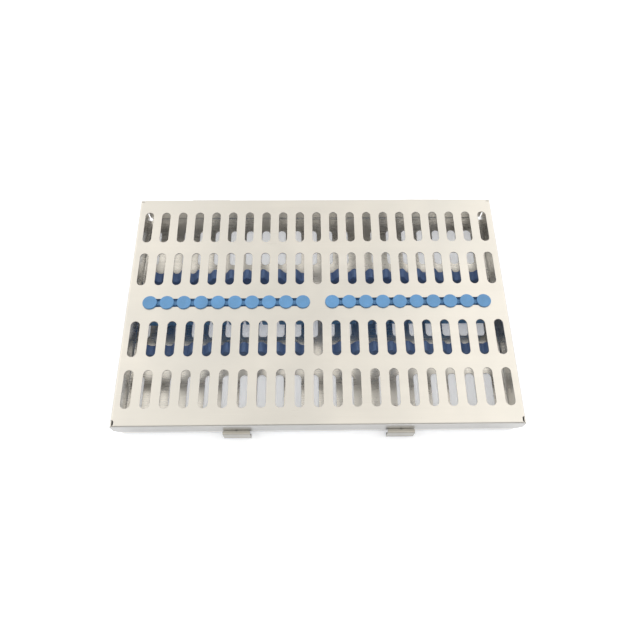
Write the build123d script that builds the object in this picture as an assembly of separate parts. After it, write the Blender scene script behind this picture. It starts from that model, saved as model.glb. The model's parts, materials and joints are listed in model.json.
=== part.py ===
"""Instrument sterilisation cassette: a folded steel tray and a hinged, perforated lid.

The tray holds two split rows of silicone combs on steel rails, the lid carries two
silicone hold-down strips whose buttons stand through it, two hinges join the lid to
the rear wall, and two flap latches on the front wall hook over lugs of the lid.

Frame: millimetres, +X to the right along the front, +Y to the rear, +Z up.
Origin: centre of the whole outline, on the plane that the tray rests on.
"""
from build123d import *
import os

# ---------------------------------------------------------------- driving dimensions
SHEET = 0.8                  # stainless sheet of the tray, lid, rails and hinge leaves

LID_LENGTH = 283.0           # along X
LID_DEPTH = 186.4            # along Y
LID_TOP = 25.0               # height of the lid's upper face
SKIRT_HEIGHT = 13.2          # how far the lid's skirt reaches down
LID_BEND = 1.8               # outer bend radius of the lid

TRAY_GAP = 0.6               # between the lid's skirt and the tray's walls
TRAY_TOP = 24.0              # upper edge of the tray's walls
TRAY_BEND = 2.0              # outer bend radius of the tray

CORNER_NOTCH = 1.3           # how far the tray's walls end short of each corner
RELIEF_RADIUS = 1.4          # round relief punched through the tray's bends
TRAY_CHAMFER = 4.2           # cut off the upper ends of the tray's walls
FRONT_RELIEF = (2.6, 4.8)    # how far the lid's corner reliefs reach in, along X and Y
REAR_RELIEF = (4.0, 2.6)
RELIEF_CORNER = 1.2          # rounding of those reliefs
SEAM = 0.2                   # gap where a side flange of the lid meets a long one
SKIRT_CHAMFER = 3.0          # cut off the lower ends of the lid's skirt
EDGE_BREAK = 0.15            # small chamfer on the slots' outer edges

SLOT_WIDTH = 6.6
SLOTS_PER_ROW = 21
LID_SLOT_PITCH = 13.27
LID_SLOT_LENGTH = 27.6
LID_ROW_OFFSETS = (-66.6, -28.8, 28.8, 66.6)

FLOOR_SLOT_PITCH = 12.9
FLOOR_PATTERN_X = -3.0       # the floor's pattern sits a little to the left of centre
FLOOR_ROWS = ((-64.8, 32.4), (-1.2, 34.0), (62.4, 32.4))     # centre and slot length

PLACES = 10                  # instruments on each side of the centre
PLACE_PITCH = 12.58
FIRST_PLACE = 10.9           # distance of the innermost place from the centre

BUTTON_RADIUS = 5.3
BUTTON_HEIGHT = 1.2
BUTTON_SLOT_WIDTH = 6.6      # the long slot in the lid that the buttons stand through
STRIP_CLEARANCE = 0.1
STRIP_WIDTH = 25.4
STRIP_WEB = 2.2
RIB_WIDTH = 3.0
RIB_BOTTOM = 11.3            # height of the fingers' ends above the table
FINGER_SLIT = 1.8
FINGER_ROUND = 1.0
KEY_WIDTH = 3.2              # link between two buttons, with a groove on either side
LINK_GROOVE = 1.6            # depth of those grooves

COMB_ROWS = (("front", -30.1), ("rear", 32.0))               # centre of each row in Y
COMB_WIDTH = 8.6
COMB_TOP = 11.8
TOOTH_WIDTH = 2.6            # across a tooth's top, before it is rounded
TOOTH_ROUND = 2.1
GROOVE_FLOOR = 3.4           # across a groove's bottom, before it is rounded
GROOVE_BOTTOM = 5.6
GROOVE_ROUND = 2.5
RAIL_TOP = 4.2
RAIL_FOOT = 12.0
RAIL_END_INSET = 1.0
WELD_RADIUS = 1.3            # spot-weld dimples
WELD_DEPTH = 0.15

HINGE_X = 85.0
HINGE_LENGTH = 30.0
HINGE_KNUCKLE = 1.5          # outer radius
HINGE_PIN = 0.65
HINGE_AXIS_Y = 94.8
HINGE_AXIS_Z = 13.4
HINGE_MIDDLE = 12.0          # length of the lid leaf's knuckle
KNUCKLE_GAP = 0.2
RUNNING_CLEARANCE = 0.05

LATCH_X = 57.2
LATCH_WIDTH = 19.0
LATCH_SHEET = 0.8
LATCH_KNUCKLE = 1.5
LATCH_PIN = 0.65
LATCH_AXIS_Y = -94.8
LATCH_AXIS_Z = 3.4
LATCH_MIDDLE = 10.0          # length of the bracket's knuckle
LATCH_BRACKET_WIDTH = 16.0
BRACKET_BELOW_SKIRT = 0.6    # from the skirt down to the bracket's upper edge
HOOK_UNDERSIDE = 12.8
HOOK_TIP_Y = -93.3
HOOK_NOTCH = 0.6
LUG_WIDTH = 13.0
LUG_GAP = 3.8                # the lug is split in two below the hook's notch
LUG_TIP_Y = -94.95

# ---------------------------------------------------------------- worked-out dimensions
TRAY_LENGTH = LID_LENGTH - 2 * (SHEET + TRAY_GAP)
TRAY_DEPTH = LID_DEPTH - 2 * (SHEET + TRAY_GAP)
SKIRT_BOTTOM = LID_TOP - SKIRT_HEIGHT
LID_UNDERSIDE = LID_TOP - SHEET
STRIP_LENGTH = PLACES * PLACE_PITCH
STRIP_CENTRE = FIRST_PLACE + (PLACES - 1) * PLACE_PITCH / 2
THROUGH = 2.0                # how far a cutting body runs past the material

SIDES = (("left", -1), ("right", 1))


# ---------------------------------------------------------------- small helpers
def block(x_span, y_span, z_span):
    """A box from its low and high limits along each axis."""
    size = [high - low for low, high in (x_span, y_span, z_span)]
    centre = [(high + low) / 2 for low, high in (x_span, y_span, z_span)]
    return Pos(*centre) * Box(*size)


def rod_x(radius, length, x, y, z):
    """A round rod along X, centred at x."""
    return Pos(x, y, z) * Rot(0, 90, 0) * Cylinder(radius, length)


def places(side):
    """X positions of the instrument places on one side."""
    return [side * (FIRST_PLACE + n * PLACE_PITCH) for n in range(PLACES)]


def profile_along_x(points, x_centre, width):
    """A flat outline in the YZ plane, given as (y, z) points, extruded along X."""
    outline = Plane.YZ * make_face(Polyline(*points, close=True))
    return Pos(x_centre - width / 2, 0, 0) * extrude(outline, amount=width, dir=(1, 0, 0))


def slot_cutters(pitch, rows, x_shift, y_shift, z_low, z_high):
    """All the round-ended slots of a perforated sheet as one cutting body."""
    middle = (SLOTS_PER_ROW - 1) / 2
    sketch = Sketch()
    for row_y, length in rows:
        for n in range(SLOTS_PER_ROW):
            place = Pos(x_shift + (n - middle) * pitch, y_shift + row_y)
            sketch += place * SlotOverall(length, SLOT_WIDTH, rotation=90)
    return Pos(0, 0, z_low) * extrude(sketch, amount=z_high - z_low)


def folded_pan(length, depth, height, bend):
    """A sheet folded up on four sides, open at the top, its corners still closed."""
    on_floor = (Align.CENTER, Align.CENTER, Align.MIN)
    outer = Box(length, depth, height, align=on_floor)
    outer = fillet(outer.edges().group_by(Axis.Z)[0], bend)
    cavity = Box(length - 2 * SHEET, depth - 2 * SHEET, height, align=on_floor)
    cavity = Pos(0, 0, SHEET) * fillet(cavity.edges().group_by(Axis.Z)[0], bend - SHEET)
    return outer - cavity


def weld_dimples(points, depth_direction):
    """Shallow round recesses of spot welds, centred on points of a visible face."""
    marks = Part()
    for x, y, z in points:
        mark = Plane((x, y, z), z_dir=depth_direction) * Cylinder(WELD_RADIUS, 2 * WELD_DEPTH)
        marks += mark
    return marks


# ---------------------------------------------------------------- tray and lid
def tray_corners():
    """Gaps and round reliefs at the tray's four open corners, and chamfered wall ends."""
    cutter = Part()
    half = TRAY_CHAMFER * 2 ** 0.5
    for x_side in (-1, 1):
        for y_side in (-1, 1):
            x_corner = x_side * TRAY_LENGTH / 2
            y_corner = y_side * TRAY_DEPTH / 2
            x_relief = x_corner - x_side * CORNER_NOTCH
            y_relief = y_corner - y_side * CORNER_NOTCH
            cutter += Pos(x_corner, y_corner, TRAY_TOP / 2) * Box(
                2 * CORNER_NOTCH, 2 * CORNER_NOTCH, TRAY_TOP + THROUGH)
            cutter += Pos(x_relief, y_relief, 0) * Cylinder(RELIEF_RADIUS, 2 * TRAY_BEND)
            cutter += Pos(x_corner, y_corner, TRAY_TOP) * Rot(0, 45, 0) * Box(
                half, 4 * TRAY_BEND, half)
            cutter += Pos(x_corner, y_corner, TRAY_TOP) * Rot(45, 0, 0) * Box(
                4 * TRAY_BEND, half, half)
    return cutter


def make_tray():
    tray = folded_pan(TRAY_LENGTH, TRAY_DEPTH, TRAY_TOP, TRAY_BEND) - tray_corners()
    tray -= slot_cutters(FLOOR_SLOT_PITCH, FLOOR_ROWS, FLOOR_PATTERN_X, 0.0,
                         -THROUGH, SHEET + THROUGH)
    upper_floor = tray.faces().filter_by(Axis.Z).filter_by(
        lambda face: abs(face.center().Z - SHEET) < 0.01).sort_by(SortBy.AREA)[-1]
    slot_edges = [edge for wire in upper_floor.inner_wires() for edge in wire.edges()]
    return chamfer(slot_edges, EDGE_BREAK)


def button_slot(side):
    """The long slot in the lid that one strip's buttons stand through."""
    length = (PLACES - 1) * PLACE_PITCH + BUTTON_SLOT_WIDTH
    outline = Pos(side * STRIP_CENTRE, 0) * SlotOverall(length, BUTTON_SLOT_WIDTH)
    return Pos(0, 0, LID_UNDERSIDE - THROUGH) * extrude(outline, amount=SHEET + 2 * THROUGH)


def lid_corners():
    """Reliefs and seams at the lid's corners, and chamfers at the skirt's lower ends."""
    cutter = Part()
    half = SKIRT_CHAMFER * 2 ** 0.5
    seam_top = LID_TOP - LID_BEND
    for x_side in (-1, 1):
        for y_side, (in_x, in_y), past_y in ((-1, FRONT_RELIEF, -SHEET), (1, REAR_RELIEF, THROUGH)):
            x_end = x_side * LID_LENGTH / 2
            y_end = y_side * LID_DEPTH / 2
            y_seam = y_end - y_side * SHEET
            x_relief = sorted((x_end - x_side * in_x, x_end + x_side * THROUGH))
            y_relief = sorted((y_end - y_side * in_y, y_end + y_side * past_y))
            relief = block(x_relief, y_relief, (seam_top, LID_TOP + THROUGH))
            cutter += fillet(relief.edges().filter_by(Axis.Z), RELIEF_CORNER)
            x_seam = sorted((x_end - x_side * SHEET, x_end + x_side * THROUGH))
            y_gap = sorted((y_seam - y_side * SEAM, y_seam))
            cutter += block(x_seam, y_gap, (SKIRT_BOTTOM - THROUGH, LID_TOP - SHEET))
            cutter += Pos(x_end, y_end, SKIRT_BOTTOM) * Rot(0, 45, 0) * Box(
                half, 2 * SHEET, half)
            cutter += Pos(x_end, y_seam, SKIRT_BOTTOM) * Rot(45, 0, 0) * Box(
                2 * SHEET, half, half)
    return cutter


def make_lid():
    pan = folded_pan(LID_LENGTH, LID_DEPTH, SKIRT_HEIGHT, LID_BEND)
    lid = Pos(0, 0, LID_TOP) * Rot(180, 0, 0) * pan
    rows = [(offset, LID_SLOT_LENGTH) for offset in LID_ROW_OFFSETS]
    lid -= slot_cutters(LID_SLOT_PITCH, rows, 0.0, 0.0,
                        LID_UNDERSIDE - THROUGH, LID_TOP + THROUGH)
    for _, side in SIDES:
        lid -= button_slot(side)
    lid -= lid_corners()
    top_face = lid.faces().filter_by(Axis.Z).sort_by(Axis.Z)[-1]
    slot_edges = [edge for wire in top_face.inner_wires() for edge in wire.edges()]
    lid = chamfer(slot_edges, EDGE_BREAK)
    front_face = -LID_DEPTH / 2
    for _, side in SIDES:
        for half_side in (-1, 1):
            x_span = sorted(side * LATCH_X + half_side * reach
                            for reach in (LUG_GAP / 2, LUG_WIDTH / 2))
            lid += block(x_span, (LUG_TIP_Y, front_face + SHEET / 2),
                         (SKIRT_BOTTOM, SKIRT_BOTTOM + SHEET))
    return lid


# ---------------------------------------------------------------- silicone parts
def make_hold_down(side):
    """Strip under the lid: web, slit fingers at front and rear, and ten buttons."""
    x_low = side * STRIP_CENTRE - STRIP_LENGTH / 2
    x_span = (x_low, x_low + STRIP_LENGTH)
    y_low = -STRIP_WIDTH / 2
    y_high = STRIP_WIDTH / 2
    web_bottom = LID_UNDERSIDE - STRIP_WEB
    strip = block(x_span, (y_low, y_high), (web_bottom, LID_UNDERSIDE))
    for rib in ((y_low, y_low + RIB_WIDTH), (y_high - RIB_WIDTH, y_high)):
        fingers = block(x_span, rib, (RIB_BOTTOM, web_bottom))
        for n in range(1, PLACES):
            x_slit = x_low + n * PLACE_PITCH
            fingers -= block((x_slit - FINGER_SLIT / 2, x_slit + FINGER_SLIT / 2),
                             (y_low - THROUGH, y_high + THROUGH),
                             (RIB_BOTTOM - THROUGH, web_bottom - THROUGH))
        ends = fingers.edges().filter_by(Axis.X).group_by(Axis.Z)[0]
        strip += fillet(ends, FINGER_ROUND)
    neck_radius = BUTTON_SLOT_WIDTH / 2 - STRIP_CLEARANCE
    groove_width = neck_radius - KEY_WIDTH / 2
    groove = Box(PLACE_PITCH - 2 * neck_radius, groove_width, 2 * LINK_GROOVE)
    groove = fillet(groove.edges().filter_by(Axis.Z), groove_width / 3)
    for n in range(1, PLACES):
        for y_side in (-1, 1):
            y_groove = y_side * (KEY_WIDTH + groove_width) / 2
            strip -= Pos(x_low + n * PLACE_PITCH, y_groove, LID_UNDERSIDE) * groove
    on_base = (Align.CENTER, Align.CENTER, Align.MIN)
    button = Cylinder(BUTTON_RADIUS, BUTTON_HEIGHT, align=on_base)
    button = fillet(button.edges().group_by(Axis.Z)[-1], BUTTON_HEIGHT / 3)
    neck = Cylinder(neck_radius, SHEET, align=on_base)
    for x in places(side):
        strip += Pos(x, 0, LID_UNDERSIDE) * neck
        strip += Pos(x, 0, LID_TOP) * button
    return strip


def comb_groove():
    """Cutting body of one groove: flared sides and a rounded bottom, along Y."""
    mouth = (PLACE_PITCH - TOOTH_WIDTH) / 2
    floor = GROOVE_FLOOR / 2
    depth = COMB_TOP - GROOVE_BOTTOM
    outline = Plane.XZ * make_face(Polyline(
        (-mouth, THROUGH), (-mouth, 0), (-floor, -depth), (floor, -depth),
        (mouth, 0), (mouth, THROUGH), close=True))
    width = COMB_WIDTH + 2 * THROUGH
    groove = Pos(0, width / 2, 0) * extrude(outline, amount=width, dir=(0, -1, 0))
    return fillet(groove.edges().filter_by(Axis.Y).group_by(Axis.Z)[0], GROOVE_ROUND)


def make_comb(side, y_centre):
    """Grooved silicone bar with rounded teeth, slit underneath for its rail."""
    x_low = side * STRIP_CENTRE - STRIP_LENGTH / 2
    x_high = x_low + STRIP_LENGTH
    y_span = (y_centre - COMB_WIDTH / 2, y_centre + COMB_WIDTH / 2)
    comb = block((x_low, x_high), y_span, (2 * SHEET, COMB_TOP))
    groove = comb_groove()
    for x in places(side):
        comb -= Pos(x, y_centre, COMB_TOP) * groove
    tooth_edges = comb.edges().filter_by(Axis.Y).group_by(Axis.Z)[-1]
    inner = [edge for edge in tooth_edges
             if x_low + TOOTH_WIDTH < edge.center().X < x_high - TOOTH_WIDTH]
    comb = fillet(inner, TOOTH_ROUND)
    end_corners = [edge for edge in comb.edges().filter_by(Axis.Y).group_by(Axis.Z)[-1]
                   if x_low + 0.1 < edge.center().X < x_high - 0.1
                   and not x_low + TOOTH_WIDTH < edge.center().X < x_high - TOOTH_WIDTH]
    comb = fillet(end_corners, TOOTH_ROUND / 2)
    slit = SHEET / 2 + STRIP_CLEARANCE
    comb -= block((x_low - THROUGH, x_high + THROUGH), (y_centre - slit, y_centre + slit),
                  (0, RAIL_TOP + 2 * STRIP_CLEARANCE))
    return comb


# ---------------------------------------------------------------- rails
def make_rail(side, y_centre):
    """Angle of folded sheet: a foot welded to the floor and a blade inside the comb."""
    inset = STRIP_LENGTH / 2 - RAIL_END_INSET
    x_span = (side * STRIP_CENTRE - inset, side * STRIP_CENTRE + inset)
    towards_centre = -1 if y_centre > 0 else 1
    outer_y = y_centre - towards_centre * SHEET / 2
    inner_y = y_centre + towards_centre * SHEET / 2
    foot_y = y_centre + towards_centre * RAIL_FOOT
    foot = block(x_span, sorted((outer_y, foot_y)), (SHEET, 2 * SHEET))
    blade = block(x_span, sorted((outer_y, inner_y)), (SHEET, RAIL_TOP))
    rail = foot + blade
    bend_edge = rail.edges().filter_by(Axis.X).filter_by(
        lambda edge: abs(edge.center().Y - outer_y) < 0.01).sort_by(Axis.Z)[0]
    rail = fillet(bend_edge, 0.9 * SHEET)
    weld_y = y_centre + towards_centre * (RAIL_FOOT + COMB_WIDTH / 2) / 2
    weld_x = [side * STRIP_CENTRE + step * STRIP_LENGTH / 5 for step in (-2, -1, 0, 1, 2)]
    return rail - weld_dimples([(x, weld_y, 2 * SHEET) for x in weld_x], (0, 0, 1))


# ---------------------------------------------------------------- hinges
def hinge_knuckle(x, length):
    """Ring of a rolled knuckle with its pin hole."""
    ring = rod_x(HINGE_KNUCKLE, length, x, HINGE_AXIS_Y, HINGE_AXIS_Z)
    return ring - rod_x(HINGE_PIN + RUNNING_CLEARANCE, length + THROUGH, x,
                        HINGE_AXIS_Y, HINGE_AXIS_Z)


def hinge_outer_knuckles():
    """Centre offset and length of the two knuckles of the tray leaf."""
    length = (HINGE_LENGTH - HINGE_MIDDLE) / 2 - KNUCKLE_GAP
    return (HINGE_LENGTH - length) / 2, length


def make_tray_leaf(side):
    """Leaf on the tray's rear wall, jogged out below the skirt to its two knuckles."""
    wall = TRAY_DEPTH / 2
    roll_wall = HINGE_KNUCKLE - HINGE_PIN - RUNNING_CLEARANCE
    roll_in = HINGE_AXIS_Y - HINGE_KNUCKLE
    plate = [(wall, 2.4), (wall + roll_wall, 2.4), (wall + roll_wall, 9.2), (wall, 9.2)]
    neck = [(wall, 9.2), (wall + roll_wall, 9.0), (roll_in + roll_wall, 10.8),
            (roll_in + roll_wall, HINGE_AXIS_Z), (roll_in, HINGE_AXIS_Z), (roll_in, 11.3)]
    leaf = profile_along_x(plate, side * HINGE_X, HINGE_LENGTH)
    offset, length = hinge_outer_knuckles()
    for direction in (-1, 1):
        x = side * HINGE_X + direction * offset
        leaf += profile_along_x(neck, x, length)
        leaf += hinge_knuckle(x, length)
    welds = [(side * HINGE_X + step, wall + roll_wall, 5.6) for step in (-10, 0, 10)]
    return leaf - weld_dimples(welds, (0, 1, 0))


def make_lid_leaf(side):
    """Leaf on the lid's rear skirt with the middle knuckle."""
    face = LID_DEPTH / 2
    roll_out = HINGE_AXIS_Y - HINGE_PIN - RUNNING_CLEARANCE
    plate_low = HINGE_AXIS_Z + HINGE_KNUCKLE + 2 * KNUCKLE_GAP
    plate = [(face, plate_low), (roll_out, plate_low), (roll_out, 23.0), (face, 23.0)]
    neck = [(face, HINGE_AXIS_Z), (roll_out, HINGE_AXIS_Z), (roll_out, plate_low),
            (face, plate_low)]
    leaf = profile_along_x(plate, side * HINGE_X, HINGE_LENGTH)
    leaf += profile_along_x(neck, side * HINGE_X, HINGE_MIDDLE)
    leaf += hinge_knuckle(side * HINGE_X, HINGE_MIDDLE)
    welds = [(side * HINGE_X + step, roll_out, 19.4) for step in (-10, 0, 10)]
    return leaf - weld_dimples(welds, (0, 1, 0))


def make_hinge_pin(side):
    pin = rod_x(HINGE_PIN, HINGE_LENGTH + SHEET, side * HINGE_X, HINGE_AXIS_Y, HINGE_AXIS_Z)
    return fillet(pin.edges().filter_by(GeomType.CIRCLE), HINGE_PIN / 2)


# ---------------------------------------------------------------- latches
def latch_knuckle(x, length):
    """Ring of a rolled latch knuckle with its pin hole."""
    ring = rod_x(LATCH_KNUCKLE, length, x, LATCH_AXIS_Y, LATCH_AXIS_Z)
    return ring - rod_x(LATCH_PIN + RUNNING_CLEARANCE, length + THROUGH, x,
                        LATCH_AXIS_Y, LATCH_AXIS_Z)


def make_latch_bracket(side):
    """Plate on the tray's front wall, jogged out to one middle knuckle."""
    wall = -TRAY_DEPTH / 2
    roll_in = LATCH_AXIS_Y + LATCH_KNUCKLE
    plate_top = SKIRT_BOTTOM - BRACKET_BELOW_SKIRT
    plate = [(wall, plate_top), (wall - LATCH_SHEET, plate_top),
             (wall - LATCH_SHEET, 6.4), (wall, 6.4)]
    neck = [(wall, 6.6), (wall - LATCH_SHEET, 7.0), (roll_in - LATCH_SHEET, 5.4),
            (roll_in - LATCH_SHEET, LATCH_AXIS_Z), (roll_in, LATCH_AXIS_Z), (roll_in, 5.1)]
    bracket = profile_along_x(plate, side * LATCH_X, LATCH_BRACKET_WIDTH)
    bracket += profile_along_x(neck, side * LATCH_X, LATCH_MIDDLE)
    bracket += latch_knuckle(side * LATCH_X, LATCH_MIDDLE)
    welds = [(side * LATCH_X + step, wall - LATCH_SHEET, 9.0) for step in (-5, 5)]
    return bracket - weld_dimples(welds, (0, -1, 0))


def make_latch_flap(side):
    """Flap that stands in front of the skirt and hooks over the lid's lug."""
    x_centre = side * LATCH_X
    half = LATCH_WIDTH / 2
    x_span = (x_centre - half, x_centre + half)
    front = LATCH_AXIS_Y - LATCH_KNUCKLE
    hook_top = HOOK_UNDERSIDE + LATCH_SHEET
    flap = block(x_span, (front, front + LATCH_SHEET), (LATCH_AXIS_Z, hook_top))
    flap += block(x_span, (front, HOOK_TIP_Y), (HOOK_UNDERSIDE, hook_top))
    along_x = flap.edges().filter_by(Axis.X)
    flap = fillet(along_x.sort_by(lambda edge: edge.center().Y - edge.center().Z)[0], 1.3)
    tip_corners = flap.edges().filter_by(Axis.Z).sort_by(Axis.Y)[-2:]
    flap = fillet(tip_corners, 1.2)
    flap -= Pos(x_centre, HOOK_TIP_Y, hook_top) * Cylinder(HOOK_NOTCH, 2 * THROUGH)
    flap += latch_knuckle(x_centre, LATCH_WIDTH)
    window = LATCH_MIDDLE / 2 + KNUCKLE_GAP
    flap -= block((x_centre - window, x_centre + window),
                  (front - THROUGH, LATCH_AXIS_Y + LATCH_KNUCKLE + THROUGH),
                  (0, LATCH_AXIS_Z + LATCH_KNUCKLE + 0.4))
    return flap


def make_latch_pin(side):
    pin = rod_x(LATCH_PIN, LATCH_WIDTH, side * LATCH_X, LATCH_AXIS_Y, LATCH_AXIS_Z)
    return fillet(pin.edges().filter_by(GeomType.CIRCLE), LATCH_PIN / 2)


# ---------------------------------------------------------------- the set of parts
def make_parts():
    parts = {"tray": make_tray(), "lid": make_lid()}
    for name, side in SIDES:
        parts["hold_down_strip_" + name] = make_hold_down(side)
        for row, y_centre in COMB_ROWS:
            parts["silicone_comb_" + row + "_" + name] = make_comb(side, y_centre)
            parts["comb_rail_" + row + "_" + name] = make_rail(side, y_centre)
        parts["hinge_tray_leaf_" + name] = make_tray_leaf(side)
        parts["hinge_lid_leaf_" + name] = make_lid_leaf(side)
        parts["hinge_pin_" + name] = make_hinge_pin(side)
        parts["latch_bracket_" + name] = make_latch_bracket(side)
        parts["latch_flap_" + name] = make_latch_flap(side)
        parts["latch_pin_" + name] = make_latch_pin(side)
    return parts


os.makedirs("parts", exist_ok=True)
for node, shape in make_parts().items():
    export_step(shape, "parts/" + node + ".step")
    print(node, round(shape.volume, 1))
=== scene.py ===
"""Looks of the instrument sterilisation cassette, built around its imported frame.

The steel pieces keep their CAD shapes and get brushed-steel materials. The silicone pieces,
which are plain solids in the CAD, are replaced by moulded meshes with soft edges.
All lengths are metres, in the CAD frame.
"""
import json
import math
import random
import bpy
from mathutils import Matrix, Vector


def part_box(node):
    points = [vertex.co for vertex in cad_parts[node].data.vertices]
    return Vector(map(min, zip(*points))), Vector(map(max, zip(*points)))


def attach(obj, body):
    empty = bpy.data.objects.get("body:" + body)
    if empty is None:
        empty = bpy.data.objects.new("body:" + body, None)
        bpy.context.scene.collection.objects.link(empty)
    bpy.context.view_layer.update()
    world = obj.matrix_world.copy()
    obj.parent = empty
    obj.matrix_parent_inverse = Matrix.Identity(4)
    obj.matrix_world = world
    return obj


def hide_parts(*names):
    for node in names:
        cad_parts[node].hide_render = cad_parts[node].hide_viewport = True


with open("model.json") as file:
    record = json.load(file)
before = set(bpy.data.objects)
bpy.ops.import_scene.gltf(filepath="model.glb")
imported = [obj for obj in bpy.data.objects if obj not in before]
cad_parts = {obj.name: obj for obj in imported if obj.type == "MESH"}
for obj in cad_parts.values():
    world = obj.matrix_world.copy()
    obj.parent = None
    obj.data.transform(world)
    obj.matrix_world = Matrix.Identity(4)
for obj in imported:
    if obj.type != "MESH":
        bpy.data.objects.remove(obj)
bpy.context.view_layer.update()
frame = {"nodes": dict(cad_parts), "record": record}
NODES = frame["nodes"]
RECORD = frame["record"]
MM = 0.001

# Instrument places: ten on each side of the middle, at an even pitch.
PLACES = 10
LID_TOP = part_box("lid")[1].z


# ------------------------------------------------------------------ camera
CAMERA_PLACE = (-0.0054, -0.1918, 0.4082)
CAMERA_PITCH = 65.2          # degrees below the horizon
CAMERA_YAW = 2.27            # degrees to the right of straight back
CAMERA_ROLL = 1.66           # degrees
CAMERA_LENS = 32.4           # millimetres, as is the sensor's width
SENSOR_WIDTH = 36.0


def make_camera():
    """Camera above the front edge, looking down and back, with a little yaw and roll."""
    pitch, yaw, roll = (math.radians(a) for a in (CAMERA_PITCH, CAMERA_YAW, CAMERA_ROLL))
    forward = Vector((math.sin(yaw) * math.cos(pitch), math.cos(yaw) * math.cos(pitch),
                      -math.sin(pitch)))
    right = Vector((math.cos(yaw), -math.sin(yaw), 0.0))
    up = right.cross(forward)
    right_rolled = right * math.cos(roll) + up * math.sin(roll)
    up_rolled = up * math.cos(roll) - right * math.sin(roll)
    data = bpy.data.cameras.new("camera")
    data.sensor_width = SENSOR_WIDTH
    data.lens = CAMERA_LENS
    camera = bpy.data.objects.new("camera", data)
    camera.matrix_world = Matrix.Translation(Vector(CAMERA_PLACE)) @ Matrix(
        (right_rolled, up_rolled, -forward)).transposed().to_4x4()
    bpy.context.scene.collection.objects.link(camera)
    bpy.context.scene.camera = camera


# ------------------------------------------------------------------ shader helpers
def new_material(name):
    made = bpy.data.materials.new(name)
    made.use_nodes = True
    return made, made.node_tree, made.node_tree.nodes["Principled BSDF"]


def add(tree, kind, settings=None, **inputs):
    """A shader node; an input is either a value or another node's output socket."""
    made = tree.nodes.new("ShaderNode" + kind)
    for key, value in (settings or {}).items():
        setattr(made, key, value)
    for key, value in inputs.items():
        socket = made.inputs[int(key[1:])] if key[0] == "_" else made.inputs[key]
        if isinstance(value, bpy.types.NodeSocket):
            tree.links.new(value, socket)
        else:
            socket.default_value = value
    return made


def stretched(tree, coords, scale):
    return add(tree, "Mapping", Vector=coords, Scale=scale).outputs["Vector"]


def noise(tree, coords, scale, detail=2.0, roughness=0.5):
    return add(tree, "TexNoise", Vector=coords, Scale=scale, Detail=detail,
               Roughness=roughness).outputs["Fac"]


def spread(tree, value, low, high, to_low, to_high):
    """value taken from low..high to to_low..to_high, held at both ends."""
    made = add(tree, "MapRange", Value=value)
    for key, number in (("From Min", low), ("From Max", high),
                        ("To Min", to_low), ("To Max", to_high)):
        made.inputs[key].default_value = number
    return made.outputs["Result"]


def mixed(tree, factor, first, second, blend="MIX"):
    made = add(tree, "Mix", {"data_type": "RGBA", "blend_type": blend},
               _0=factor, _6=first, _7=second)
    return made.outputs[2]


def math_node(tree, operation, first, second=0.0):
    return add(tree, "Math", {"operation": operation}, _0=first, _1=second).outputs[0]


def tint(colour, factor, warmth=0.0):
    """colour made lighter or darker, and warmer above 0."""
    red, green, blue = colour
    return (red * factor * (1 + warmth), green * factor, blue * factor * (1 - warmth), 1.0)


def edge_mask(tree, soft_normal, low, high):
    """1 along convex and concave edges, 0 on flat faces."""
    flat = add(tree, "NewGeometry").outputs["Normal"]
    dot = add(tree, "VectorMath", {"operation": "DOT_PRODUCT"}, _0=soft_normal, _1=flat)
    return spread(tree, dot.outputs["Value"], 1 - low, 1 - high, 0.0, 1.0)


# ------------------------------------------------------------------ stage and light
FLOOR_HALF = 3.0
FLOOR_DROP = 0.2 * MM        # keeps the floor just under the tray
FLOOR_COLOUR = (0.84, 0.88, 0.97, 1)
FLOOR_ROUGHNESS = 0.9
FLOOR_GLOSS = 0.2
FLOOR_GLOW = 0.24
WORLD_STRENGTH = 1.95
WORLD_TINT = (1.045, 1.0, 0.905)
WORLD_REACH = 0.7            # X of the directions where the ramp below starts and ends
# Places along a ramp from left to right, with the brightness of the surroundings there.
WORLD_STOPS = ((0.0, 1.67), (0.27, 1.53), (0.47, 0.97), (0.57, 1.06), (0.76, 1.86), (1.0, 1.57))
HEIGHT_SHARE = 0.6           # how much a direction's height counts as pointing back
FRONT_SHADE = 0.22           # brightness low in front, against 1 behind
HORIZON_SHADE = 0.66         # brightness at the horizon, against 1 above it


def make_floor():
    mesh = bpy.data.meshes.new("floor")
    corners = [(x * FLOOR_HALF, y * FLOOR_HALF, 0) for x, y in ((-1, -1), (1, -1), (1, 1), (-1, 1))]
    mesh.from_pydata(corners, [], [(0, 1, 2, 3)])
    floor = bpy.data.objects.new("floor", mesh)
    floor.location.z = -FLOOR_DROP
    material, tree, shader = new_material("floor_paper")
    shader.inputs["Base Color"].default_value = FLOOR_COLOUR
    shader.inputs["Roughness"].default_value = FLOOR_ROUGHNESS
    shader.inputs["Specular IOR Level"].default_value = FLOOR_GLOSS
    shader.inputs["Emission Color"].default_value = (1, 1, 1, 1)
    shader.inputs["Emission Strength"].default_value = FLOOR_GLOW
    mesh.materials.append(material)
    bpy.context.scene.collection.objects.link(floor)


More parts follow.
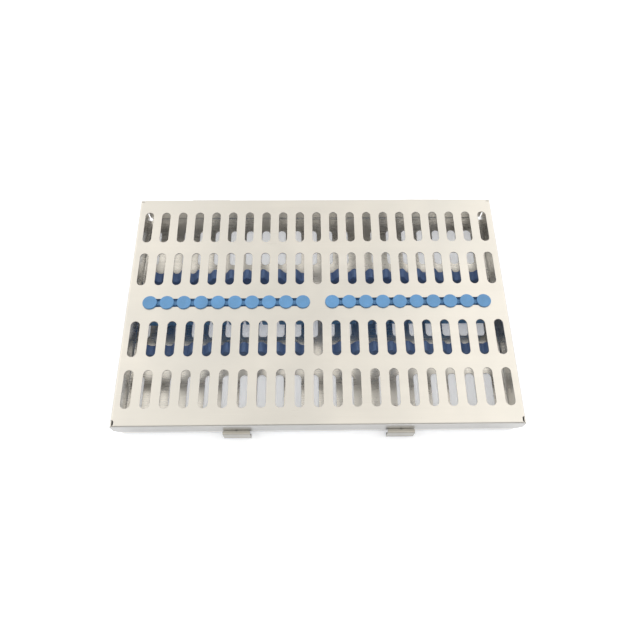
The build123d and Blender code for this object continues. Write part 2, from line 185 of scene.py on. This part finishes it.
def make_world():
    """Warm white surroundings: brighter at the sides and overhead, darker in front."""
    world = bpy.data.worlds.new("studio")
    world.use_nodes = True
    tree = world.node_tree
    direction = add(tree, "TexCoord").outputs["Generated"]
    split = add(tree, "SeparateXYZ", Vector=direction)
    across = spread(tree, split.outputs["X"], -WORLD_REACH, WORLD_REACH, 0.0, 1.0)
    ramp = add(tree, "ValToRGB", Fac=across)
    ramp.color_ramp.interpolation = "B_SPLINE"
    ramp.color_ramp.elements.remove(ramp.color_ramp.elements[1])
    for index, (position, value) in enumerate(WORLD_STOPS):
        element = (ramp.color_ramp.elements[0] if index == 0
                   else ramp.color_ramp.elements.new(position))
        element.position = position
        element.color = [value / WORLD_STRENGTH * share for share in WORLD_TINT] + [1]
    height = math_node(tree, "MULTIPLY", split.outputs["Z"], HEIGHT_SHARE)
    to_rear = math_node(tree, "ADD", split.outputs["Y"], height)
    front = spread(tree, to_rear, -0.75, -0.05, FRONT_SHADE, 1.0)
    horizon = spread(tree, split.outputs["Z"], 0.0, 0.30, HORIZON_SHADE, 1.0)
    shade = math_node(tree, "MULTIPLY", front, horizon)
    shaded = mixed(tree, shade, (0, 0, 0, 1), ramp.outputs["Color"])
    background = tree.nodes["Background"]
    tree.links.new(shaded, background.inputs["Color"])
    background.inputs["Strength"].default_value = WORLD_STRENGTH
    bpy.context.scene.world = world


# ------------------------------------------------------------------ materials
# Noise scales along X, Y and Z. The steel's marks are drawn out along X.
GRAIN_SCALE = (20, 1400, 1400)
STREAK_SCALE = (5, 155, 155)
SMUDGE_SCALE = (40, 40, 40)
SCRATCH_SCALE = (22, 2600, 2600)
CLOUD_SCALE = 15.0
MOTTLE_SCALE = 95.0
SKIN_SCALE = 5200.0
DUST_SCALE = 1500.0
DUST_COLOUR = (0.62, 0.70, 0.80, 1.0)
STEEL_EDGE = 0.25 * MM       # radius that the shading gives to sharp edges
SILICONE_EDGE = 0.3 * MM
BUMP_HEIGHT = 0.05 * MM

# Colour, roughness, depth of the grain, cloudiness and, for the lid, the painted shade on its upright
# walls.
STEELS = {
    "lid_steel": ((0.588, 0.583, 0.575), 0.33, 0.040, 0.045, 0.78),
    "tray_steel": ((0.742, 0.732, 0.714), 0.28, 0.010, 0.020),
    "rail_steel": ((0.760, 0.750, 0.730), 0.27, 0.010, 0.020),
    "hinge_steel": ((0.573, 0.564, 0.550), 0.32, 0.040, 0.020),
    "latch_steel": ((0.470, 0.461, 0.437), 0.48, 0.035, 0.020),
    "pin_steel": ((0.560, 0.552, 0.540), 0.24, 0.030, 0.010),
}
SILICONES = {
    "blue_silicone": (0.095, 0.239, 0.472),
    # Painted shade: the combs' silicone is the blue silicone made darker and more purple, as it looks
    # in the lid's shadow.
    "comb_silicone_painted_shade": (0.124, 0.202, 0.412),
}


def brushed_steel(name, colour, roughness, grain_depth, cloudiness, painted_wall_shade=1.0):
    """Satin stainless steel whose grain runs along X, with painted shade darkening the piece's
    upright walls.
    """
    material, tree, shader = new_material(name)
    place = add(tree, "TexCoord").outputs["Object"]
    grain = noise(tree, stretched(tree, place, GRAIN_SCALE), 1.0, 3.0, 0.6)
    streaks = noise(tree, stretched(tree, place, STREAK_SCALE), 1.0, 4.0, 0.65)
    clouds = noise(tree, place, CLOUD_SCALE, 3.0, 0.55)
    smudges = noise(tree, stretched(tree, place, SMUDGE_SCALE), 1.0, 5.0, 0.6)
    scratches = noise(tree, stretched(tree, place, SCRATCH_SCALE), 1.0, 1.0, 0.3)

    base = mixed(tree, spread(tree, clouds, 0.35, 0.65, 0.0, 1.0),
                 tint(colour, 1 - cloudiness, -0.006), tint(colour, 1 + cloudiness, 0.008))
    base = mixed(tree, spread(tree, streaks, 0.3, 0.7, 0.0, 10 * grain_depth), base,
                 tint(colour, 0.93, 0.004))
    base = mixed(tree, spread(tree, scratches, 0.70, 0.78, 0.0, 7 * grain_depth), base,
                 tint(colour, 1.15))

    soft_normal = add(tree, "Bevel", {"samples": 6}, Radius=STEEL_EDGE).outputs["Normal"]
    edges = edge_mask(tree, soft_normal, 0.03, 0.25)
    # Painted highlight: the base colour is lightened along every edge, where a rounded edge would
    # catch light.
    base = mixed(tree, math_node(tree, "MULTIPLY", edges, 0.35), base, tint(colour, 1.12))
    # Painted shade: upright walls get a darker base colour, standing in for the shaded floor that
    # they reflect.
    facing = add(tree, "SeparateXYZ", Vector=add(tree, "TexCoord").outputs["Normal"])
    level = math_node(tree, "ABSOLUTE", facing.outputs["Z"])
    upright = spread(tree, level, 0.2, 0.8, 1.0, 0.0)
    base = mixed(tree, upright, base, (painted_wall_shade, painted_wall_shade, painted_wall_shade, 1.0), "MULTIPLY")
    tree.links.new(base, shader.inputs["Base Color"])

    rough = spread(tree, grain, 0.25, 0.75, roughness - 0.05, roughness + 0.05)
    rough = math_node(tree, "ADD", rough, spread(tree, smudges, 0.45, 0.70, -0.02, 0.07))
    rough = math_node(tree, "SUBTRACT", rough, math_node(tree, "MULTIPLY", edges, 0.08))
    tree.links.new(rough, shader.inputs["Roughness"])
    bump = add(tree, "Bump", Strength=grain_depth, Distance=BUMP_HEIGHT, Height=grain,
               Normal=soft_normal)
    tree.links.new(bump.outputs["Normal"], shader.inputs["Normal"])
    shader.inputs["Metallic"].default_value = 1.0
    return material


def moulded_silicone(name, colour):
    """Matt silicone rubber: faintly mottled, with a fine skin and a painted highlight along its
    edges.
    """
    material, tree, shader = new_material(name)
    place = add(tree, "TexCoord").outputs["Object"]
    mottle = noise(tree, place, MOTTLE_SCALE, 3.0, 0.6)
    skin = noise(tree, place, SKIN_SCALE, 2.0, 0.6)
    dust = noise(tree, place, DUST_SCALE, 2.0, 0.5)
    base = mixed(tree, spread(tree, mottle, 0.3, 0.7, 0.0, 1.0),
                 tint(colour, 0.90, 0.02), tint(colour, 1.08, -0.02))
    base = mixed(tree, spread(tree, dust, 0.66, 0.74, 0.0, 0.25), base,
                 DUST_COLOUR)
    soft_normal = add(tree, "Bevel", {"samples": 6}, Radius=SILICONE_EDGE).outputs["Normal"]
    edges = edge_mask(tree, soft_normal, 0.02, 0.30)
    # Painted highlight: the base colour is lightened and warmed along every edge, convex and concave.
    base = mixed(tree, math_node(tree, "MULTIPLY", edges, 0.22), base,
                 tint(colour, 1.35, 0.05))
    tree.links.new(base, shader.inputs["Base Color"])
    rough = spread(tree, mottle, 0.3, 0.7, 0.50, 0.66)
    tree.links.new(rough, shader.inputs["Roughness"])
    bump = add(tree, "Bump", Strength=0.12, Distance=BUMP_HEIGHT, Height=skin,
               Normal=soft_normal)
    tree.links.new(bump.outputs["Normal"], shader.inputs["Normal"])
    shader.inputs["Specular IOR Level"].default_value = 0.35
    return material


def make_materials():
    """The record's materials by name, and a darker copy of the blue silicone for the combs, as
    painted shade.
    """
    made = {name: brushed_steel(name, *values) for name, values in STEELS.items()}
    for name, colour in SILICONES.items():
        made[name] = moulded_silicone(name, colour)
    return made


def dress_nodes(materials):
    for subpart in RECORD["subparts"]:
        for slot in NODES[subpart["node"]].material_slots:
            slot.material = materials[subpart["material_slot"]]


# ------------------------------------------------------------------ mesh helpers
class Shells:
    """Gathers closed shells into one mesh."""

    def __init__(self):
        self.vertices = []
        self.faces = []

    def loft(self, rings):
        """A closed shell through rings of equally many points, flat at both ends."""
        start = len(self.vertices)
        count = len(rings[0])
        for ring in rings:
            self.vertices.extend(ring)
        for r in range(len(rings) - 1):
            low = start + r * count
            for i in range(count):
                j = (i + 1) % count
                self.faces.append((low + i, low + j, low + count + j, low + count + i))
        last = start + (len(rings) - 1) * count
        self.faces.append(tuple(start + i for i in reversed(range(count))))
        self.faces.append(tuple(last + i for i in range(count)))

    def piece(self, name, material, body, node):
        """The gathered shells as an object that stands for one CAD node."""
        mesh = bpy.data.meshes.new(name)
        mesh.from_pydata(self.vertices, [], self.faces)
        mesh.materials.append(material)
        mesh.shade_smooth()
        mesh.set_sharp_from_angle(angle=math.radians(50))
        made = bpy.data.objects.new(name, mesh)
        bpy.context.scene.collection.objects.link(made)
        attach(made, body)
        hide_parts(node)
        return made


def smooth_step(value, low, high):
    share = min(max((value - low) / (high - low), 0.0), 1.0)
    return share * share * (3 - 2 * share)


def rounding(distance, radius):
    """How far a rounded edge has fallen away at this distance from the side."""
    if distance >= radius:
        return 0.0
    return radius - math.sqrt(max(radius ** 2 - (radius - distance) ** 2, 0.0))


def stations(low, high, steps, radius, edge_steps=5):
    """Positions from low to high, closer together where the ends are rounded."""
    near = [radius * (1 - math.cos(math.pi / 2 * i / edge_steps)) for i in range(edge_steps)]
    middle = [low + radius + (high - low - 2 * radius) * i / steps for i in range(steps + 1)]
    return ([low + d for d in near] + middle + [high - d for d in reversed(near)])


def rounded_rectangle(x, y, half_x, half_y, radius, corner_steps=5):
    """Points round a rectangle with round corners, anticlockwise from the right."""
    points = []
    for quarter, (sx, sy) in enumerate(((1, -1), (1, 1), (-1, 1), (-1, -1))):
        for i in range(corner_steps + 1):
            angle = math.pi / 2 * (quarter - 1 + i / corner_steps)
            points.append((x + sx * (half_x - radius) + radius * math.cos(angle),
                           y + sy * (half_y - radius) + radius * math.sin(angle)))
    return points


# ------------------------------------------------------------------ combs
COMB_GROOVE_BOTTOM = 5.6 * MM
COMB_EDGE = 0.9 * MM
COMB_DRAFT = 0.25 * MM
RAIL_SLIT = 0.5 * MM
RAIL_SLIT_TOP = 4.5 * MM
COMB_END_ROUND = 0.7 * MM
COMB_STEPS = 300
# The side of a groove rises between these shares of the way from its middle to a tooth's.
RISE_START = 0.12
RISE_END = 0.93


def comb_section(x, centre, half, low, high):
    """One cross-section of a comb: rounded bar with a slit underneath for its rail."""
    edge = COMB_EDGE
    side_steps, top_steps, arc_steps = 4, 6, 5
    outline = [(RAIL_SLIT, low), (half, low)]
    for i in range(1, side_steps):
        share = i / side_steps
        outline.append((half - COMB_DRAFT * share, low + (high - edge - low) * share))
    shoulder = half - COMB_DRAFT - edge
    for i in range(arc_steps + 1):
        angle = math.pi / 2 * i / arc_steps
        outline.append((shoulder + edge * math.cos(angle), high - edge + edge * math.sin(angle)))
    for i in range(1, top_steps):
        outline.append((shoulder * (1 - 2 * i / top_steps), high))
    for i in range(arc_steps + 1):
        angle = math.pi / 2 * (1 + i / arc_steps)
        outline.append((-shoulder + edge * math.cos(angle), high - edge + edge * math.sin(angle)))
    for i in reversed(range(1, side_steps)):
        share = i / side_steps
        outline.append((-half + COMB_DRAFT * share, low + (high - edge - low) * share))
    outline += [(-half, low), (-RAIL_SLIT, low), (-RAIL_SLIT, RAIL_SLIT_TOP),
                (RAIL_SLIT, RAIL_SLIT_TOP)]
    return [(x, centre + y, z) for y, z in outline]


def make_comb(node, material):
    """Grooved bar: the top runs in even waves, low at each instrument place."""
    low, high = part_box(node)
    pitch = (high.x - low.x) / PLACES
    centre = (low.y + high.y) / 2
    half = (high.y - low.y) / 2
    shells = Shells()
    rings = []
    for x in stations(low.x, high.x, COMB_STEPS, COMB_END_ROUND):
        to_place = abs((x - low.x) / pitch % 1 - 0.5) * 2
        wave = smooth_step(to_place, RISE_START, RISE_END)
        top = COMB_GROOVE_BOTTOM + (high.z - COMB_GROOVE_BOTTOM) * wave
        inset = rounding(min(x - low.x, high.x - x), COMB_END_ROUND)
        rings.append(comb_section(x, centre, half - inset, low.z + inset, top - inset))
    shells.loft(rings)
    return shells.piece(node + "_moulded", material, "base", node)


# ------------------------------------------------------------------ hold-down strips
BUTTON_RADIUS = 5.3 * MM
NECK_RADIUS = 3.2 * MM
WEB_THICKNESS = 2.2 * MM
WEB_EDGE = 0.3 * MM
LID_SHEET = 0.8 * MM
LINK_HALF = 1.6 * MM         # half the width of the link between two buttons
GROOVE_DEPTH = 1.6 * MM      # of the grooves on both sides of a link
GROOVE_CORNER = 0.53 * MM
FINGER_THICKNESS = 3.0 * MM
FINGER_SLIT = 1.8 * MM
FINGER_CORNER = 0.9 * MM
FINGER_END = 1.2 * MM
ROOT_FILLET = 0.8 * MM
SKIN_GAP = 0.02 * MM         # keeps the web's skin off the lid's underside
BUTTON_SIDES = 40
BUTTON_RIM = 0.45 * MM       # radius round a button's top
BUTTON_FOOT = 0.25 * MM      # bevel round a button's underside
BUTTON_LIFT = 0.02 * MM      # keeps the buttons' undersides off the lid
BUTTON_DISH = 0.10 * MM
DISH_EDGE = 0.9              # these two are shares of the button's radius
DISH_RINGS = (0.80, 0.65, 0.45, 0.25, 0.08)
BUTTON_LEAN = 0.012          # greatest slope of a button's top
LEAN_FROM = 0.1 * MM         # height above the lid from which a button leans
NECK_SINK = 0.3 * MM         # how far the necks reach into the web
WEB_GRID = 1.2 * MM
WEB_EDGE_SHARES = (0.0, 0.12, 0.5, 1.0)
ON_EDGE = 1e-7               # closer than this counts as on a groove's outline
ROOT_SINK = 0.2 * MM         # how far the fingers reach into the web
FINGER_LEAN = 0.15 * MM
LEAST_CORNER = 0.1 * MM
END_INSET = 0.1 * MM         # from the strip's ends to its outermost fingers
SIDE_INSET = 0.05 * MM       # from the strip's long sides to its fingers
STRIP_SEEDS = {"hold_down_strip_left": 4, "hold_down_strip_right": 9}


def add_button(shells, x, y, rng):
    """Disc on a neck, with a rounded rim and a faint dish in its top."""
    base = LID_TOP
    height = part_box("hold_down_strip_left")[1].z - base
    rim = BUTTON_RIM
    profile = [(NECK_RADIUS, base - LID_SHEET - NECK_SINK), (NECK_RADIUS, base + BUTTON_LIFT),
               (BUTTON_RADIUS - BUTTON_FOOT, base + BUTTON_LIFT),
               (BUTTON_RADIUS, base + BUTTON_FOOT), (BUTTON_RADIUS, base + height - rim)]
    for i in range(1, 6):
        angle = math.pi / 2 * i / 5
        profile.append((BUTTON_RADIUS - rim + rim * math.cos(angle),
                        base + height - rim + rim * math.sin(angle)))
    for share in DISH_RINGS:
        dish = BUTTON_DISH * (1 - (share / DISH_EDGE) ** 2)
        profile.append((BUTTON_RADIUS * share, base + height - dish))
    lean_x, lean_y = (rng.uniform(-BUTTON_LEAN, BUTTON_LEAN) for _ in range(2))
    rings = []
    for radius, z in profile:
        ring = []
        for i in range(BUTTON_SIDES):
            angle = 2 * math.pi * i / BUTTON_SIDES
            dx, dy = radius * math.cos(angle), radius * math.sin(angle)
            tilt = (dx * lean_x + dy * lean_y) if z > base + LEAN_FROM else 0.0
            ring.append((x + dx, y + dy, z - abs(tilt)))
        rings.append(ring)
    shells.loft(rings)


def near_steps(low, high, gap):
    """Positions between two limits: closely spaced at both, at most gap apart between."""
    near = [WEB_EDGE * share for share in WEB_EDGE_SHARES] + [GROOVE_CORNER]
    first, last = low + near[-1], high - near[-1]
    count = max(1, math.ceil((last - first) / gap))
    middle = [first + (last - first) * i / count for i in range(1, count)]
    return [low + d for d in near] + middle + [high - d for d in reversed(near)]


def on_outline(x, y, groove):
    """A point of a groove's rectangular outline moved onto its rounded outline."""
    groove_x, groove_y, half_x, half_y = groove
    corner_x = half_x - GROOVE_CORNER
    corner_y = half_y - GROOVE_CORNER
    out_x, out_y = abs(x - groove_x) - corner_x, abs(y - groove_y) - corner_y
    if out_x <= 0 or out_y <= 0:
        return x, y
    share = GROOVE_CORNER / math.hypot(out_x, out_y)
    return (groove_x + math.copysign(corner_x + out_x * share, x - groove_x),
            groove_y + math.copysign(corner_y + out_y * share, y - groove_y))


def add_web(shells, low, high, middle_y, pitch):
    """Slab under the lid, with two grooves beside a narrow link between each two buttons."""
    top = LID_TOP - LID_SHEET - SKIN_GAP
    bottom = LID_TOP - LID_SHEET - WEB_THICKNESS
    floor = LID_TOP - LID_SHEET - GROOVE_DEPTH
    half_x = pitch / 2 - NECK_RADIUS
    half_y = (NECK_RADIUS - LINK_HALF) / 2
    grooves = [(low.x + n * pitch, middle_y + side * (LINK_HALF + half_y), half_x, half_y)
               for n in range(1, PLACES) for side in (-1, 1)]
    x_marks = [low.x] + [low.x + n * pitch + side * half_x
                         for n in range(1, PLACES) for side in (-1, 1)] + [high.x]
    y_marks = [low.y] + [middle_y + d for d in (-NECK_RADIUS, -LINK_HALF, LINK_HALF,
                                                NECK_RADIUS)] + [high.y]
    xs, ys = [], []
    for values, marks in ((xs, x_marks), (ys, y_marks)):
        for start, end in zip(marks, marks[1:]):
            values.extend(near_steps(start, end, WEB_GRID)[1 if values else 0:])
    cells = [(i, j) for i in range(len(xs) - 1) for j in range(len(ys) - 1)]

    def grooved(i, j):
        x, y = (xs[i] + xs[i + 1]) / 2, (ys[j] + ys[j + 1]) / 2
        return any(abs(x - g[0]) < g[2] and abs(y - g[1]) < g[3] for g in grooves)

    sunk = {cell for cell in cells if grooved(*cell)}
    inside = set(cells)
    index = {}

    def vertex(i, j, level):
        if (i, j, level) not in index:
            x, y = xs[i], ys[j]
            gap = rim = min(x - low.x, high.x - x, y - low.y, high.y - y)
            for groove in grooves:
                out = (abs(x - groove[0]) - groove[2], abs(y - groove[1]) - groove[3])
                if max(out) < WEB_EDGE:
                    gap = min(gap, math.hypot(max(out[0], 0), max(out[1], 0)))
                    if level != "bottom" and abs(max(out)) < ON_EDGE:
                        x, y = on_outline(x, y, groove)
            z = {"top": top - rounding(gap, WEB_EDGE), "floor": floor,
                 "bottom": bottom + rounding(rim, WEB_EDGE)}[level]
            index[i, j, level] = len(shells.vertices)
            shells.vertices.append((x, y, z))
        return index[i, j, level]

    for i, j in cells:
        corners = ((i, j), (i + 1, j), (i + 1, j + 1), (i, j + 1))
        level = "floor" if (i, j) in sunk else "top"
        shells.faces.append(tuple(vertex(*c, level) for c in corners))
        shells.faces.append(tuple(vertex(*c, "bottom") for c in reversed(corners)))
        for k, beside in enumerate(((i, j - 1), (i + 1, j), (i, j + 1), (i - 1, j))):
            foot = None
            if beside not in inside:
                foot = "bottom"
            elif (i, j) not in sunk and beside in sunk:
                foot = "floor"
            if foot:
                first, second = corners[k], corners[(k + 1) % 4]
                shells.faces.append((vertex(*first, foot), vertex(*second, foot),
                                     vertex(*second, "top"), vertex(*first, "top")))


def add_finger(shells, x, y, half_x, low_z, rng):
    """One flexible finger, flared into the web and rounded at its free end."""
    root = LID_TOP - LID_SHEET - WEB_THICKNESS + ROOT_SINK
    lean_x, lean_y = (rng.uniform(-FINGER_LEAN, FINGER_LEAN) for _ in range(2))
    heights = []
    for i in range(6):
        angle = math.pi / 2 * i / 5
        heights.append((root - ROOT_FILLET * math.sin(angle), ROOT_FILLET * (1 - math.sin(angle))))
    for i in range(1, 6):
        share = i / 6
        heights.append((root - ROOT_FILLET - (root - ROOT_FILLET - low_z - FINGER_END) * share, 0))
    for i in range(7):
        angle = math.pi / 2 * i / 6
        heights.append((low_z + FINGER_END * (1 - math.sin(angle)),
                        -FINGER_END * (1 - math.cos(angle))))
    rings = []
    for z, grow in heights:
        drop = (root - z) / (root - low_z)
        ring = rounded_rectangle(x + lean_x * drop ** 2, y + lean_y * drop ** 2, half_x + grow,
                                 FINGER_THICKNESS / 2 + grow, max(FINGER_CORNER + grow, LEAST_CORNER))
        rings.append([(px, py, z) for px, py in reversed(ring)])
    shells.loft(rings)


def make_hold_down(node, material, seed):
    """Web, buttons standing on the lid, and a front and a rear row of fingers."""
    rng = random.Random(seed)
    low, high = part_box(node)
    pitch = (high.x - low.x) / PLACES
    middle_y = (low.y + high.y) / 2
    shells = Shells()
    add_web(shells, low, high, middle_y, pitch)
    for n in range(PLACES):
        x = low.x + (n + 0.5) * pitch
        add_button(shells, x, middle_y, rng)
        left = low.x + END_INSET if n == 0 else low.x + n * pitch + FINGER_SLIT / 2
        right = (high.x - END_INSET if n == PLACES - 1
                 else low.x + (n + 1) * pitch - FINGER_SLIT / 2)
        for y in (low.y + FINGER_THICKNESS / 2 + SIDE_INSET,
                  high.y - FINGER_THICKNESS / 2 - SIDE_INSET):
            add_finger(shells, (left + right) / 2, y, (right - left) / 2, low.z, rng)
    return shells.piece(node + "_moulded", material, "lid", node)


# ------------------------------------------------------------------ the whole scene
make_camera()
make_floor()
make_world()
bpy.context.scene.view_settings.view_transform = "Standard"

MATERIALS = make_materials()
dress_nodes(MATERIALS)
for node_name in sorted(NODES):
    if node_name.startswith("silicone_comb"):
        make_comb(node_name, MATERIALS["comb_silicone_painted_shade"])
for strip_name, strip_seed in STRIP_SEEDS.items():
    make_hold_down(strip_name, MATERIALS["blue_silicone"], strip_seed)
